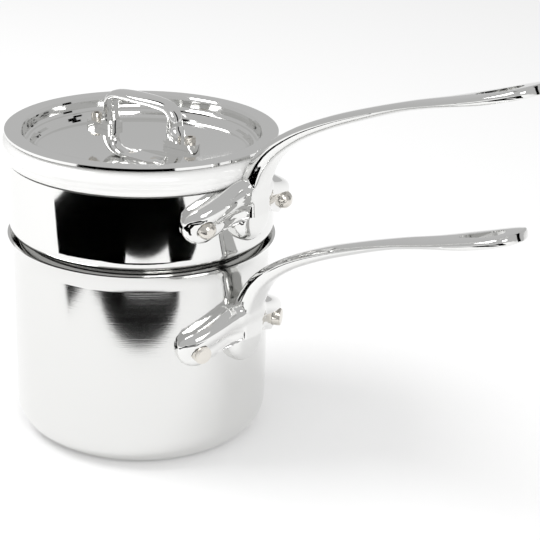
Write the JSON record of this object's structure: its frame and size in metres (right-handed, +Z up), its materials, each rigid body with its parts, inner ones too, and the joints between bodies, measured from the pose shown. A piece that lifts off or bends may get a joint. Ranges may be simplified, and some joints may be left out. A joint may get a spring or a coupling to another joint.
{
  "type": "double boiler",
  "caption": "Stovetop double boiler: flared steel saucepan, steel collar and deep porcelain insert under a stepped lid, with long riveted cast handles and a bolted bow handle.",
  "frame": {"origin": "centre of the pan's flat base, on the surface it stands on", "axes": "+Z up along the axis of the pan; +X towards the ends of the two long handles; the lid handle lies along X"},
  "size_m": [0.2758, 0.1344, 0.2122],
  "materials": {
    "pan_steel": "satin, brushed around the wall",
    "polished_steel": "mirror polished",
    "rivet_metal": "satin",
    "porcelain": "glossy glaze"
  },
  "bodies": {
    "pan": {"pan_body": "pan_steel", "pan_handle": "polished_steel", "pan_rivet_left": "rivet_metal", "pan_rivet_right": "rivet_metal"},
    "collar": {"collar_ring": "polished_steel", "collar_handle": "polished_steel", "collar_rivet_left": "rivet_metal", "collar_rivet_right": "rivet_metal"},
    "insert": {"insert_bowl": "porcelain"},
    "lid": {"lid_plate": "polished_steel", "lid_handle_base": "polished_steel", "lid_handle_bow": "polished_steel", "lid_screw_left": "rivet_metal", "lid_screw_right": "rivet_metal", "lid_nut_left": "rivet_metal", "lid_nut_right": "rivet_metal", "lid_rivet_left": "rivet_metal", "lid_rivet_right": "rivet_metal"}
  },
  "joints": [
    {"name": "collar_lift", "type": "slide", "parent": "pan", "child": "collar", "axis": [0, 0, 1], "range_m": [0, 0.075]},
    {"name": "insert_lift", "type": "slide", "parent": "collar", "child": "insert", "axis": [0, 0, 1], "range_m": [0, 0.11]},
    {"name": "lid_lift", "type": "slide", "parent": "insert", "child": "lid", "axis": [0, 0, 1], "range_m": [0, 0.04]}
  ]
}
